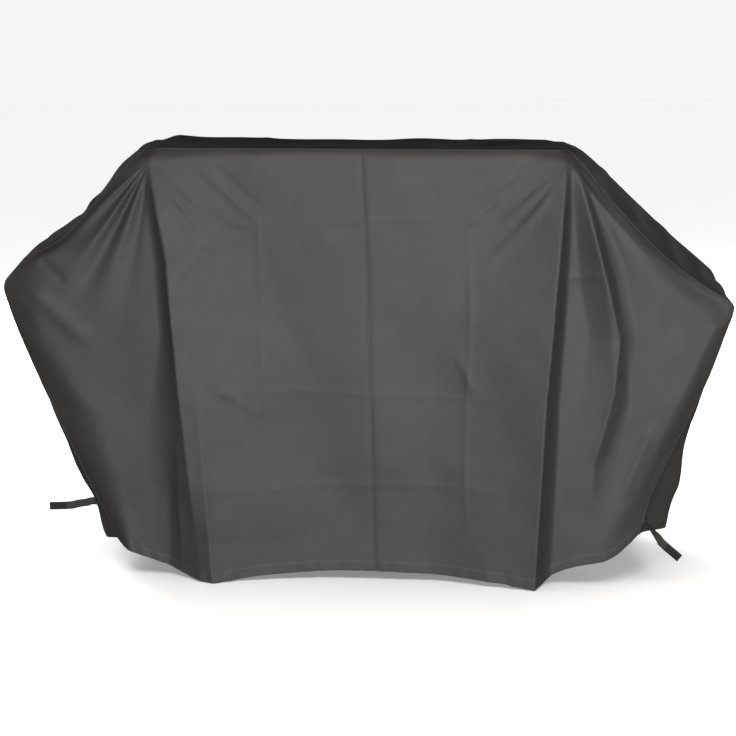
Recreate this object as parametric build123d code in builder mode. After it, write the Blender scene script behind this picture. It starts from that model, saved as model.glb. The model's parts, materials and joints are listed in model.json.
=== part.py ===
"""Grill cover: a fitted fabric cover for a hooded grill with two side shelves.

Units are millimetres. X runs along the width, -Y is the front, +Z is up. The origin is on the
plane of the lowest hem, under the middle of the cover. The cover is cut like the real one: shaped
front and rear panels, each in two halves, joined by a strip that runs up one side, over the
shoulders and the hood and down the other side. Bound seams, a turned hem and four sewn straps
complete it.
"""

import math
import os

from build123d import *

# Driving dimensions of the outline: the shelf tips, the hood and the hem's corners
overall_width = 1905
binding_proud = 3
tip_x = overall_width / 2 - binding_proud
tip_z = 755
top_z = 1145
hood_left_x = -555
hood_right_x = 515
left_corner_x = -645
right_corner_x = 668
front_y = -255
rear_y = 250

# Where the fabric sags between the hood and the shelf tips. Outline points that are nearer to a
# sagging seam than sag_reach move with it.
sag_z = 930
sag_left_x = -750
sag_right_x = 706
sag_reach = 50

# Hem: its height at the sides, the x of its two low lobes and its height between them. Below the
# lowest hem the walls are first made down to low_z, and then cut to the hem's line.
left_hem_z = 85
right_hem_z = 135
front_lobes = (-390, 445)
rear_lobes = (-410, 400)
front_middle_z = 26
rear_middle_z = 22
front_lobe_y = -330
rear_lobe_y = 315
hem_height = 28
hem_outward = 1
hem_inward = 4
left_slope = (1, -0.55)
right_slope = (1, 0.6)
low_z = -20
cut_rise = 55
cut_floor_z = -60
cut_depth = 600

# Fabric, seams and tapes
cloth = 3
binding_inward = 4.5
binding_half_depth = 4.5
tape_width = 20
tape_thick = 1.2
seam_gap = 0.3
joint_tape_width = 24
joint_tape_below = 22
joint_tape_end_gap = 3
side_sag = 8

# Straps
strap_length = 135
strap_width = 22
strap_thick = 1.8
twist_end = 74
station_step = 20
fastening_start = 78
fastening_end = 130
fastening_width = 20
fastening_thick = 1.2
patch_length = 32
patch_width = 28
patch_thick = 1.8
patch_radius = 3
patch_gap = 1.3
root_standoff = 10
strap_z = 152
tack_length = 20
tack_width = 1.6
tack_thick = 0.8
tack_inset = 10

LEVELS = [low_z, tip_z, sag_z, top_z]

# Plan outlines of the four walls just below the hem, at the shelf tips and at the hood. Each runs
# anticlockwise seen from above: front from left to right, right side to the rear, rear from right
# to left, left side to the front.
FRONT = [
    [
        (left_corner_x, front_y),
        (-575, -270),
        (-490, -284),
        (-390, front_lobe_y),
        (-200, -285),
        (20, -268),
        (240, -285),
        (445, front_lobe_y),
        (510, -276),
        (590, -274),
        (right_corner_x, front_y),
    ],
    [
        (-tip_x, front_y),
        (-760, -262),
        (-530, -262),
        (-490, -272),
        (-250, -268),
        (10, -266),
        (250, -268),
        (495, -274),
        (540, -262),
        (720, -262),
        (tip_x, front_y),
    ],
    [
        (hood_left_x, front_y),
        (-540, -256),
        (-520, -257),
        (-495, -258),
        (-250, -260),
        (-10, -261),
        (230, -260),
        (455, -258),
        (480, -257),
        (500, -256),
        (hood_right_x, front_y),
    ],
]
REAR = [
    [
        (right_corner_x, rear_y),
        (580, 266),
        (490, 273),
        (400, rear_lobe_y),
        (205, 276),
        (0, 262),
        (-215, 278),
        (-410, rear_lobe_y),
        (-495, 270),
        (-575, 264),
        (left_corner_x, rear_y),
    ],
    [
        (tip_x, rear_y),
        (740, 256),
        (535, 256),
        (480, 262),
        (240, 261),
        (0, 258),
        (-245, 262),
        (-500, 262),
        (-550, 256),
        (-750, 256),
        (-tip_x, rear_y),
    ],
    [
        (hood_right_x, rear_y),
        (500, 251),
        (480, 252),
        (455, 253),
        (230, 255),
        (-10, 256),
        (-250, 255),
        (-495, 253),
        (-520, 252),
        (-540, 251),
        (hood_left_x, rear_y),
    ],
]
RIGHT = [
    [(right_corner_x, front_y), (705, -190), (785, -60), (770, 120), (right_corner_x, rear_y)],
    [(tip_x, front_y), (946, -190), (942, -60), (944, 120), (tip_x, rear_y)],
    [(hood_right_x, front_y), (517, -190), (519, -60), (518, 120), (hood_right_x, rear_y)],
]
LEFT = [
    [(left_corner_x, rear_y), (-725, 120), (-730, -60), (-690, -190), (left_corner_x, front_y)],
    [(-tip_x, rear_y), (-944, 120), (-942, -60), (-946, -190), (-tip_x, front_y)],
    [(hood_left_x, rear_y), (-558, 120), (-559, -60), (-557, -190), (hood_left_x, front_y)],
]
CENTRE = 5  # index of the centre seam in the front and rear outlines


def sagged(tip_outline, hood_outline):
    """The outline part way up the shoulders, drawn in to where they sag."""
    share = (sag_z - tip_z) / (top_z - tip_z)
    points = []
    for (ax, ay), (bx, by) in zip(tip_outline, hood_outline):
        points.append((ax + (bx - ax) * share, ay + (by - ay) * share))
    left_shift = sag_left_x - (-tip_x + (hood_left_x + tip_x) * share)
    right_shift = sag_right_x - (tip_x + (hood_right_x - tip_x) * share)
    innermost = max(abs(sag_left_x), abs(sag_right_x)) - sag_reach
    moved = []
    for x, y in points:
        outside = abs(x) > innermost
        shift = (left_shift if x < 0 else right_shift) if outside else 0
        moved.append((x + shift, y))
    return moved


for outlines in (FRONT, REAR, LEFT, RIGHT):
    outlines.insert(2, sagged(outlines[1], outlines[2]))

os.makedirs("parts", exist_ok=True)


def shifted(points, outward):
    """The open outline moved outward in plan, with mitred corners."""
    steps = list(zip(points, points[1:]))
    normals = []
    for (ax, ay), (bx, by) in steps:
        run = math.hypot(bx - ax, by - ay)
        normals.append(((by - ay) / run, -(bx - ax) / run))
    ends = [normals[0]] + normals + [normals[-1]]
    moved = []
    for (x, y), (ax, ay), (bx, by) in zip(points, ends, ends[1:]):
        mitre = outward / (1 + ax * bx + ay * by)
        moved.append((x + (ax + bx) * mitre, y + (ay + by) * mitre))
    return moved


def wall(outlines, heights, outer, inner, stretch=slice(None)):
    """A fabric wall through the outlines, between an outer and an inner offset from them."""
    with BuildPart() as blank:
        for outline, height in zip(outlines, heights):
            outside = shifted(outline, outer)[stretch]
            inside = shifted(outline, -inner)[stretch]
            edge = outside + inside[::-1]
            with BuildSketch(Plane.XY.offset(height)):
                with BuildLine():
                    Polyline(*edge, close=True)
                make_face()
        loft(ruled=True)
    return blank.part


def hem_line(lift, lobes, middle_z):
    """The hem's edge seen from the front, lifted by a height: low at its two lobes."""
    side = (1, 0)
    left_lobe, right_lobe = lobes
    left_end = (-tip_x, left_hem_z + cut_rise + lift)
    left_corner = (left_corner_x, left_hem_z + lift)
    right_corner = (right_corner_x, right_hem_z + lift)
    right_end = (tip_x, right_hem_z + cut_rise + lift)
    low_left = (left_lobe, lift)
    low_right = (right_lobe, lift)
    middle = ((left_lobe + right_lobe) / 2, middle_z + lift)
    Line(left_end, left_corner)
    Spline(left_corner, low_left, tangents=[left_slope, side])
    Spline(low_left, middle, tangents=[side, side])
    Spline(middle, low_right, tangents=[side, side])
    Spline(low_right, right_corner, tangents=[side, right_slope])
    Line(right_corner, right_end)
    return left_end, right_end


def below_hem(lift, lobes, middle_z):
    """Everything below the lifted hem edge, through the cover's whole depth."""
    with BuildPart() as space:
        with BuildSketch(Plane.XZ):
            with BuildLine():
                left_end, right_end = hem_line(lift, lobes, middle_z)
                Polyline(right_end, (tip_x, cut_floor_z), (-tip_x, cut_floor_z), left_end)
            make_face()
        extrude(amount=cut_depth, both=True)
    return space.part


def below_level(height):
    """Everything below a level side hem."""
    with BuildPart() as space:
        with BuildSketch(Plane.XY.offset(height)):
            Rectangle(2 * overall_width, 2 * overall_width)
        extrude(amount=cut_floor_z - height)
    return space.part


def seam_ring(seam_y, below):
    """The binding along the seam between a shaped panel and the strip round it."""
    outline = [
        (left_corner_x, low_z),
        (-tip_x, tip_z),
        (sag_left_x, sag_z),
        (hood_left_x, top_z),
        (hood_right_x, top_z),
        (sag_right_x, sag_z),
        (tip_x, tip_z),
        (right_corner_x, low_z),
    ]
    outer = shifted(outline, -binding_proud)
    inner = shifted(outline, binding_inward)
    with BuildPart() as ring:
        with BuildSketch(Plane.XZ.offset(-seam_y)):
            with BuildLine():
                Polyline(*(outer + inner[::-1]), close=True)
            make_face()
        extrude(amount=binding_half_depth, both=True)
        add(below, mode=Mode.SUBTRACT)
    return ring.part


def save(builder, name):
    """Label a finished piece and write its STEP file."""
    builder.part.label = name
    export_step(builder.part, f"parts/{name}.step")


# The hem's height along the front and the rear
under_front = below_hem(0, front_lobes, front_middle_z)
over_front_hem = below_hem(hem_height, front_lobes, front_middle_z)
under_rear = below_hem(0, rear_lobes, rear_middle_z)
over_rear_hem = below_hem(hem_height, rear_lobes, rear_middle_z)
front_ring = seam_ring(front_y, under_front)
rear_ring = seam_ring(rear_y, under_rear)

# Seam bindings
with BuildPart() as front_seam_binding:
    add(front_ring)
save(front_seam_binding, "front_seam_binding")

with BuildPart() as rear_seam_binding:
    add(rear_ring)
save(rear_seam_binding, "rear_seam_binding")

# Front and rear panels, each in two halves that meet at the centre seam
FRONT_HALVES = [("left", slice(0, CENTRE + 1)), ("right", slice(CENTRE, None))]
for half, stretch in FRONT_HALVES:
    blank = wall(FRONT, LEVELS, 0, cloth, stretch)
    with BuildPart() as front_panel:
        add(blank)
        add(over_front_hem, mode=Mode.SUBTRACT)
        add(front_ring, mode=Mode.SUBTRACT)
    save(front_panel, f"front_panel_{half}")

REAR_HALVES = [("right", slice(0, CENTRE + 1)), ("left", slice(CENTRE, None))]
for half, stretch in REAR_HALVES:
    blank = wall(REAR, LEVELS, 0, cloth, stretch)
    with BuildPart() as rear_panel:
        add(blank)
        add(over_rear_hem, mode=Mode.SUBTRACT)
        add(rear_ring, mode=Mode.SUBTRACT)
    save(rear_panel, f"rear_panel_{half}")

# Turned hems of the front and rear panels
blank = wall(FRONT[:2], LEVELS[:2], hem_outward, hem_inward)
with BuildPart() as hem_front:
    add(over_front_hem)
    add(under_front, mode=Mode.SUBTRACT)
    add(blank, mode=Mode.INTERSECT)
    add(front_ring, mode=Mode.SUBTRACT)
save(hem_front, "hem_front")

blank = wall(REAR[:2], LEVELS[:2], hem_outward, hem_inward)
with BuildPart() as hem_rear:
    add(over_rear_hem)
    add(under_rear, mode=Mode.SUBTRACT)
    add(blank, mode=Mode.INTERSECT)
    add(rear_ring, mode=Mode.SUBTRACT)
save(hem_rear, "hem_rear")

# The strip round the cover: side panels below the shelf tips, shoulder panels above them
SIDES = [("left", LEFT, left_hem_z), ("right", RIGHT, right_hem_z)]
for side, outlines, hem_z in SIDES:
    lower = wall(outlines[:2], LEVELS[:2], 0, cloth)
    under_hem = below_level(hem_z)
    over_hem = below_level(hem_z + hem_height)
    with BuildPart() as side_panel:
        add(lower)
        add(over_hem, mode=Mode.SUBTRACT)
        add(front_ring, mode=Mode.SUBTRACT)
        add(rear_ring, mode=Mode.SUBTRACT)
    save(side_panel, f"{side}_side_panel")

    band = wall(outlines[:2], LEVELS[:2], hem_outward, hem_inward)
    with BuildPart() as side_hem:
        add(band)
        add(over_hem, mode=Mode.INTERSECT)
        add(under_hem, mode=Mode.SUBTRACT)
        add(front_ring, mode=Mode.SUBTRACT)
        add(rear_ring, mode=Mode.SUBTRACT)
    save(side_hem, f"hem_{side}")

    upper = wall(outlines[1:], LEVELS[1:], 0, cloth)
    with BuildPart() as shoulder_panel:
        add(upper)
        add(front_ring, mode=Mode.SUBTRACT)
        add(rear_ring, mode=Mode.SUBTRACT)
    save(shoulder_panel, f"{side}_shoulder_panel")

# Top panel over the hood
top_width = hood_right_x - hood_left_x - 2 * cloth
top_depth = rear_y - front_y - 2 * cloth
top_centre = ((hood_left_x + hood_right_x) / 2, (front_y + rear_y) / 2)
with BuildPart() as top_panel:
    with BuildSketch(Plane.XY.offset(top_z)):
        with Locations(top_centre):
            Rectangle(top_width, top_depth)
    extrude(amount=-cloth)
    add(front_ring, mode=Mode.SUBTRACT)
    add(rear_ring, mode=Mode.SUBTRACT)
save(top_panel, "top_panel")


def near_centre(outline):
    """The short stretch of a front or rear outline that its centre seam tape covers."""
    cx, cy = outline[CENTRE]
    sides = []
    for x, y in (outline[CENTRE - 1], outline[CENTRE + 1]):
        share = tape_width / 2 / math.hypot(x - cx, y - cy)
        sides.append((cx + (x - cx) * share, cy + (y - cy) * share))
    return [sides[0], (cx, cy), sides[1]]


# Tapes that close the centre seams on the inside
for name, outlines, over_hem in (
    ("front", FRONT, over_front_hem),
    ("rear", REAR, over_rear_hem),
):
    centres = [near_centre(outline) for outline in outlines]
    tape = wall(centres, LEVELS, -cloth - seam_gap, cloth + seam_gap + tape_thick)
    with BuildPart() as centre_tape:
        add(tape)
        add(over_hem, mode=Mode.SUBTRACT)
        split(bisect_by=Plane.XY.offset(top_z - binding_inward - seam_gap), keep=Keep.BOTTOM)
    save(centre_tape, f"{name}_centre_seam_tape")


def inside_tape(upper, lower, extra):
    """The centre and lean of a joining tape on the inside, a little below an upper point."""
    top = Vector(*upper)
    down = (Vector(*lower) - top).normalized()
    inward = Vector(down.Y, -down.X) if upper[0] > 0 else Vector(-down.Y, down.X)
    centre = top + down * joint_tape_below + inward * (cloth + seam_gap + tape_thick / 2 + extra)
    lean = math.degrees(math.atan2(down.X, -down.Y))
    return centre.X, centre.Y, lean


# Tapes that join the strip's pieces on the inside, just below the shelf tips and hood corners
tape_span = rear_y - front_y - 2 * (binding_half_depth + joint_tape_end_gap)
tape_middle_y = (front_y + rear_y) / 2
JOINTS = [
    inside_tape((-tip_x, tip_z), (left_corner_x, low_z), side_sag),
    inside_tape((tip_x, tip_z), (right_corner_x, low_z), side_sag),
    inside_tape((hood_left_x, top_z), (sag_left_x, sag_z), 0),
    inside_tape((hood_right_x, top_z), (sag_right_x, sag_z), 0),
]
with BuildPart() as strip_joining_tapes:
    for x, z, lean in JOINTS:
        across = Plane(origin=(x, tape_middle_y, z), x_dir=(1, 0, 0), z_dir=(0, -1, 0))
        with BuildSketch(across):
            Rectangle(tape_thick, joint_tape_width, rotation=lean)
        extrude(amount=tape_span / 2, both=True)
save(strip_joining_tapes, "strip_joining_tapes")


def wall_plane(outlines, step, along):
    """The plane on a side wall's outside face at the straps' height, with its Y axis up the wall."""
    share = (strap_z - low_z) / (tip_z - low_z)
    (ax, ay), (bx, by) = outlines[0][step : step + 2]
    (cx, cy), (dx, dy) = outlines[1][step : step + 2]
    low = Vector(ax + (bx - ax) * along, ay + (by - ay) * along, low_z)
    high = Vector(cx + (dx - cx) * along, cy + (dy - cy) * along, tip_z)
    start = Vector(ax + (cx - ax) * share, ay + (cy - ay) * share, strap_z)
    end = Vector(bx + (dx - bx) * share, by + (dy - by) * share, strap_z)
    outward = (end - start).cross(high - low).normalized()
    return Plane(origin=low + (high - low) * share, x_dir=end - start, z_dir=outward)


# Straps. Each one has the stretch of side wall that it is sewn to, the way that it points at
# rest, the direction of its face at the root, and its twist from root to end in degrees.
STRAPS = [
    ("left_front", wall_plane(LEFT, 2, 0.50), (-1, 0, 0), (0, -1, 0), 12),
    ("right_front", wall_plane(RIGHT, 0, 0.45), (0.8, 0, -0.6), (0.6, 0, 0.8), 80),
    ("left_rear", wall_plane(LEFT, 0, 0.30), (-0.12, 0.80, -0.59), (-1, 0, 0), 8),
    ("right_rear", wall_plane(RIGHT, 3, 0.70), (0.12, 0.80, -0.59), (1, 0, 0), 8),
]
STATIONS = [*range(0, twist_end, station_step), twist_end, strap_length]


def strap_root(wall_face):
    """The point that a strap turns about, clear of its patch."""
    return wall_face.origin + wall_face.z_dir * root_standoff


def strap_plane(wall_face, direction, face, twist, distance):
    """The plane across a strap at a distance from its root: X across its width, Y its face."""
    along = Vector(*direction).normalized()
    normal = Vector(*face)
    normal = (normal - along * normal.dot(along)).normalized()
    turned = twist * min(distance / twist_end, 1)
    across = normal.cross(along).rotate(Axis((0, 0, 0), along), turned)
    return Plane(origin=strap_root(wall_face) + along * distance, x_dir=across, z_dir=along)


for name, wall_face, direction, face, twist in STRAPS:
    with BuildPart() as strap:
        for station in STATIONS:
            with BuildSketch(strap_plane(wall_face, direction, face, twist, station)):
                Rectangle(strap_width, strap_thick)
        loft(ruled=True)
    save(strap, f"{name}_strap")

    kind = "hook" if "front" in name else "loop"
    with BuildPart() as fastening_tape:
        with BuildSketch(strap_plane(wall_face, direction, face, twist, fastening_start)):
            with Locations((0, (strap_thick + fastening_thick) / 2)):
                Rectangle(fastening_width, fastening_thick)
        extrude(amount=fastening_end - fastening_start)
    save(fastening_tape, f"{name}_{kind}_tape")

    root = strap_root(wall_face)
    hinge = strap_plane(wall_face, direction, face, twist, 0).x_dir
    print(name, "root", [round(v, 1) for v in root], "axis", [round(v, 4) for v in hinge])

    with BuildPart() as strap_patch:
        with BuildSketch(wall_face.offset(patch_gap)):
            RectangleRounded(patch_length, patch_width, patch_radius)
        extrude(amount=patch_thick)
    save(strap_patch, f"{name}_strap_patch")

# Bar tacks that hold the patches, two on each
with BuildPart() as bar_tacks:
    for name, wall_face, direction, face, twist in STRAPS:
        with BuildSketch(wall_face.offset(patch_gap + patch_thick)):
            with Locations((-tack_inset, 0), (tack_inset, 0)):
                SlotOverall(tack_length, tack_width, rotation=90)
        extrude(amount=tack_thick)
save(bar_tacks, "bar_tacks")
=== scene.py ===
"""Looks of the grill cover: draped cloth panels, hems, bound seams, tapes, straps and stitching.

Lengths are in metres. Each cloth piece is a grid of points: its rows run up from the hem, and its
columns run from left to right, or from the front to the rear. Places come from the frame: the
hood's corners, the shelf tips, the hem's corners and lobes, the seams' planes and the straps.
"""

import json
import math

import bpy
import numpy as np
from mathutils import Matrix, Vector


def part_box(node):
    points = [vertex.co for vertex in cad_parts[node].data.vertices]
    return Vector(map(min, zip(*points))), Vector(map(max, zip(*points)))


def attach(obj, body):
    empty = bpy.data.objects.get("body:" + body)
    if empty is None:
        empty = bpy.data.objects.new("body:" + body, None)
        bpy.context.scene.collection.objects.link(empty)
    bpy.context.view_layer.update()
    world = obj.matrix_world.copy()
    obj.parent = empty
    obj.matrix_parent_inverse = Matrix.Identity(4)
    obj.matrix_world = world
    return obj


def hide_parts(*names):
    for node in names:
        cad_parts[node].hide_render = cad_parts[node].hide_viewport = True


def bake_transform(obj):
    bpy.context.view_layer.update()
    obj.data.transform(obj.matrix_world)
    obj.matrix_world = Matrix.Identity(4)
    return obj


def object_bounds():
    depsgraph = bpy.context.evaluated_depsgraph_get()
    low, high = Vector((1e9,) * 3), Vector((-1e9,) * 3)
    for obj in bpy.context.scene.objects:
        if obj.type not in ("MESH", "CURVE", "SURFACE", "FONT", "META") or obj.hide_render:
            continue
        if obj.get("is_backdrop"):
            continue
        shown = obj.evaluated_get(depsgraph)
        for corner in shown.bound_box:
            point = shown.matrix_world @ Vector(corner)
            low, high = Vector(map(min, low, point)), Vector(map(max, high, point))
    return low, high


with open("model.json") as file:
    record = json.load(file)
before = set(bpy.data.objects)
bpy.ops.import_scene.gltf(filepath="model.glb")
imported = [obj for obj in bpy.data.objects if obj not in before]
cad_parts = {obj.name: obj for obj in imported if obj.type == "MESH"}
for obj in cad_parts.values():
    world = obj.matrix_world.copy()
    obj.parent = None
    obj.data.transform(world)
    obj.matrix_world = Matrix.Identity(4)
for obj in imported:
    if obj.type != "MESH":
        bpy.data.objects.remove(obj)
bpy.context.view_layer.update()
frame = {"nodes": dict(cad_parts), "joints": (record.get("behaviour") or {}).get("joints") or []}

# ---- Places from the frame ----
TOP_LOW, TOP_HIGH = (np.array(corner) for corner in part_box("top_panel"))
TOP_Z = TOP_HIGH[2]
TIP_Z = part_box("left_shoulder_panel")[0][2]
HOOD_X = {"left": TOP_LOW[0], "right": TOP_HIGH[0]}
TIP_X = {"left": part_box("left_shoulder_panel")[0][0], "right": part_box("right_shoulder_panel")[1][0]}
HEM_BOX = {edge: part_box(f"hem_{edge}") for edge in ("front", "rear", "left", "right")}


def seam_plane(end):
    """The y of the plane that a bound seam lies in."""
    low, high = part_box(f"{end}_seam_binding")
    return (low[1] + high[1]) / 2


def node_points(name):
    """The corners of a CAD node."""
    return np.array([tuple(vertex.co) for vertex in frame["nodes"][name].data.vertices])


def lobe(node, side):
    """The x where a hem swings out furthest on one side of the middle."""
    points = node_points(node)
    half = points[points[:, 0] * side > 0]
    return half[np.argmax(np.abs(half[:, 1])), 0]


SEAM_Y = {end: seam_plane(end) for end in ("front", "rear")}
LOBES = {end: (lobe(f"hem_{end}", -1), lobe(f"hem_{end}", 1)) for end in ("front", "rear")}


# ---- Sizes ----
ACROSS = 0.0040  # spacing of a panel's points from side to side
UP = 0.0075  # and from the hem upward, where the folds run
DEEP = 0.0065  # and from the front to the rear
CLOTH = 0.0009  # thickness of the cloth
BELOW, ABOVE = round(0.72 / UP), round(0.58 / UP)  # steps of a seam, below and above the shelf tip
HALF = round(0.95 / ACROSS)  # steps from a panel's seam to its centre
DEPTH_STEPS = round(0.52 / DEEP)  # steps from the front seam to the rear seam
HEM = 0.028  # height of the turned hem
HEM_ROWS = 5
HEM_STAND = 0.0004  # how far a hem's outside stands out from the cloth above it
HEM_DEPTH = 0.0022  # how far its second layer lies inside
HEM_ROLL = 0.0011  # how far its rolled edge hangs down
HEM_WEAR = 0.15  # how pale its rolled edge is
SEAM_DROP = {"front": 0.003, "rear": 0.018}  # how far the seams lie below the top of the hood
LEAN, LEAN_HEIGHT = 0.014, 0.030  # how far the panels roll back at the hood, and over what height
HEM_RISE = {"front": 0.017, "rear": 0.020}  # height of a hem between its lobes
STITCH, STITCH_PITCH, THREAD = 0.0034, 0.0050, 0.00042  # stitch length, pitch and thread radius
SHORT_STITCH = 0.0022  # length of the stitches that hold a strap
TAPE_DEPTH, TAPE_THICK = 0.0016, 0.0006  # how far the inner tapes lie inside the cloth
BINDING = (0.0020, 0.0009)  # half the width and half the height of the bound seam
RELIEF_FADE, FINE_FADE = 0.055, 0.035  # how near its edges a panel's folds and wrinkles die out
PUCKER_PITCH, PUCKER_REACH = 0.035, 0.05  # of the small ripples that the hem's stitching pulls
CENTRE_DIP, CENTRE_DIP_WIDTH = 0.0026, 0.016
FOLD_RIDGE, FOLD_WEAR = 0.0018, 0.12  # height and paleness of the packing folds
FOLD_X = (-0.272, 0.270)
FOLD_Z = [TOP_Z * share for share in (0.835, 0.44, 0.22)]
PATCH_REACH = 0.065  # how far round a strap's patch the cloth is drawn on to it

# Each seam runs from its hem corner to the shelf tip, and from there to the hood's corner. The
# shifts move those places outward from the CAD's, and the tip's second number moves it up. A bend
# is a share of the way and how far the seam stands outside the straight line.
TIP_SHIFT = {
    "front_left": (0.014, 0.018),
    "front_right": (0.000, -0.016),
    "rear_left": (0.044, 0.030),
    "rear_right": (0.014, 0.000),
}
HOOD_SHIFT = {"front_left": 0.008, "front_right": 0.004, "rear_left": 0.092, "rear_right": 0.018}
CORNER_SHIFT = {"front_left": 0.014, "front_right": 0.002, "rear_left": 0.016, "rear_right": 0.018}
CORNER_DROP = {"front_left": 0.014, "front_right": 0.008, "rear_left": 0.0, "rear_right": 0.0}
LOW_BENDS = {
    "front_left": [(0.25, 0.010), (0.55, 0.018), (0.80, 0.017), (0.94, 0.010)],
    "front_right": [(0.13, -0.010), (0.30, -0.007), (0.66, 0.008), (0.88, 0.005)],
    "rear_left": [(0.25, 0.004), (0.55, 0.008), (0.80, 0.006), (0.94, 0.004)],
    "rear_right": [(0.20, 0.000), (0.55, -0.004), (0.80, -0.002), (0.94, 0.004)],
}
HIGH_BENDS = {
    "front_left": [
        (0.07, 0.011),
        (0.20, 0.010),
        (0.34, -0.010),
        (0.46, -0.015),
        (0.72, -0.002),
        (0.90, 0.006),
    ],
    "front_right": [(0.06, 0.004), (0.18, -0.011), (0.40, -0.025), (0.70, -0.017), (0.88, -0.002)],
    "rear_left": [(0.06, 0.012), (0.20, 0.012), (0.36, -0.004), (0.55, -0.012), (0.88, 0.016)],
    "rear_right": [(0.08, 0.005), (0.30, 0.004), (0.55, 0.009), (0.88, 0.016)],
}
# The seams stand back from the panels' planes by this much at the hem, half way up and at the tip
SET_BACK = {"left": (0.036, 0.042, 0.028), "right": (0.018, 0.018, 0.010)}
PROUD = 0.016  # how far the panels stand in front of or behind the bindings' planes
HEM_LIFT = {"left": 0.010, "right": 0.030}  # how much higher a side's hem hangs in its middle
# How far a side swells out between its seams, by its share of the way from hem to shelf tip
SWELL = {
    "left": [(0.0, 0.064), (0.14, 0.062), (0.26, 0.044), (0.5, 0.030), (0.9, 0.010), (1.0, 0.0)],
    "right": [(0.0, 0.088), (0.2, 0.080), (0.36, 0.052), (0.48, 0.032), (0.85, 0.012), (1.0, 0.0)],
}


# ---- Curves and profiles ----
def lean_back(z):
    """How far the front and rear panels roll inward where they near the top of the hood."""
    return LEAN * np.clip(1 - (TOP_Z - z) / LEAN_HEIGHT, 0, 1) ** 2


def spline(points, count):
    """A smooth open curve through the points, read at evenly spaced lengths."""
    points = np.array(points, float)
    padded = np.concatenate([[2 * points[0] - points[1]], points, [2 * points[-1] - points[-2]]])
    t = np.linspace(0, 1, 17)[:-1, None]
    runs = []
    for a, b, c, d in zip(padded, padded[1:], padded[2:], padded[3:]):
        square = 2 * a - 5 * b + 4 * c - d
        cube = 3 * b - a - 3 * c + d
        runs.append((2 * b + (c - a) * t + square * t**2 + cube * t**3) / 2)
    return evenly(np.concatenate(runs + [points[-1:]]), count)


def lengths_along(points):
    """The length run so far at each point of a line."""
    steps = np.linalg.norm(np.diff(points, axis=0), axis=1)
    return np.concatenate([[0], np.cumsum(steps)])


def read_at(points, wanted):
    """The points of a line at the wanted lengths along it."""
    lengths = lengths_along(points)
    return np.stack([np.interp(wanted, lengths, points[:, i]) for i in range(3)], 1)


def evenly(points, count):
    """A line's points, spread evenly along it."""
    return read_at(points, np.linspace(0, lengths_along(points)[-1], count))


def ease(t):
    """0 to 1 with soft ends."""
    t = np.clip(t, 0, 1)
    return t * t * (3 - 2 * t)


def level(z, pairs):
    """The value at height z, between (height, value) pairs that run upward."""
    heights, values = zip(*pairs)
    return np.interp(z, heights, values)


def bent(start, end, bends, outward):
    """Points from start to end that stand outside the straight line by the bends."""
    start, end = np.array(start), np.array(end)
    run = (end - start) / np.linalg.norm(end - start)
    off = np.array([run[2], 0, -run[0]]) * outward
    inner = [start + (end - start) * share + off * stand for share, stand in bends]
    return [start, *inner, end]


def fold(x, z, line, height, left, right, power=1.5, right_power=None):
    """A fold along an upright line. Its crest falls off over its left and right widths."""
    d = x - level(z, line)
    t_left = np.clip(1 + d / level(z, left), 0, 1)
    t_right = np.clip(1 - d / level(z, right), 0, 1)
    return level(z, height) * np.where(d < 0, t_left**power, t_right ** (right_power or power))


def fan(x, z, apex, spokes, reach):
    """Soft folds that spread from an apex, each (angle from straight down, height, half width)."""
    dx, dz = x - apex[0], apex[1] - z
    r = np.hypot(dx, dz)
    angle = np.degrees(np.arctan2(dx, dz))
    total = np.zeros_like(x)
    for spoke, height, half in spokes:
        total += height * np.exp(-(((angle - spoke) / half) ** 2))
    return total * ease(r / 0.14) * ease((reach - r) / (0.65 * reach))


def streak(x, z, start, end, height, width):
    """A soft wrinkle along a straight run that fades at both ends."""
    (ax, az), (bx, bz) = start, end
    run = math.hypot(bx - ax, bz - az)
    ux, uz = (bx - ax) / run, (bz - az) / run
    s = ((x - ax) * ux + (z - az) * uz) / run
    d = ((z - az) * ux - (x - ax) * uz) / width
    return height * ease(s * 3 + 0.5) * ease((1 - s) * 3 + 0.5) * np.exp(-d * d)


def crease(d, width):
    """The faint sharp ridge of a packing fold, 1 on its line."""
    t = np.clip(1 - np.abs(d) / width, 0, 1)
    return t * t


def waves(x, z, seed, scale, count=9):
    """A smooth irregular relief of a few random waves, about -1 to 1."""
    draw = np.random.default_rng(seed)
    total = np.zeros_like(x)
    for _ in range(count):
        angle = draw.uniform(0, math.pi)
        pitch = scale * draw.uniform(0.7, 1.7)
        phase = draw.uniform(0, 2 * math.pi)
        total += np.sin((x * math.cos(angle) + z * math.sin(angle)) * 2 * math.pi / pitch + phase)
    return total / math.sqrt(count)


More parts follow.
